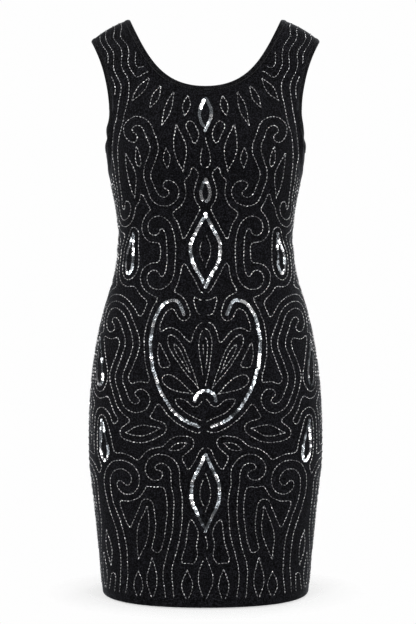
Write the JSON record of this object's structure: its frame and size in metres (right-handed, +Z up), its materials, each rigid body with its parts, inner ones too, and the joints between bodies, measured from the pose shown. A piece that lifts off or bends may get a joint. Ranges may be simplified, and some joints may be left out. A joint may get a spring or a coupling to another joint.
{
  "type": "bodycon dress",
  "caption": "Sleeveless short bodycon dress with a scoop neck and wide straps, filled out as if worn; bound neck and armholes, beaded cloth.",
  "frame": {"origin": "midway between the two straps, at the height of the straps' inner ends, where the wearer's shoulders hold the dress up", "axes": "+Z up along the dress, -Y out of its front, +X towards the dress's left side"},
  "size_m": [0.3594, 0.2537, 0.8752],
  "materials": {
    "dress_cloth": "matte black stretch cloth, sewn with silver beads and sequins",
    "binding_cloth": "plain matte black binding"
  },
  "bodies": {
    "root": {"front": "dress_cloth", "back": "dress_cloth", "neck_binding": "binding_cloth", "armhole_binding_left": "binding_cloth", "armhole_binding_right": "binding_cloth"}
  },
  "joints": []
}
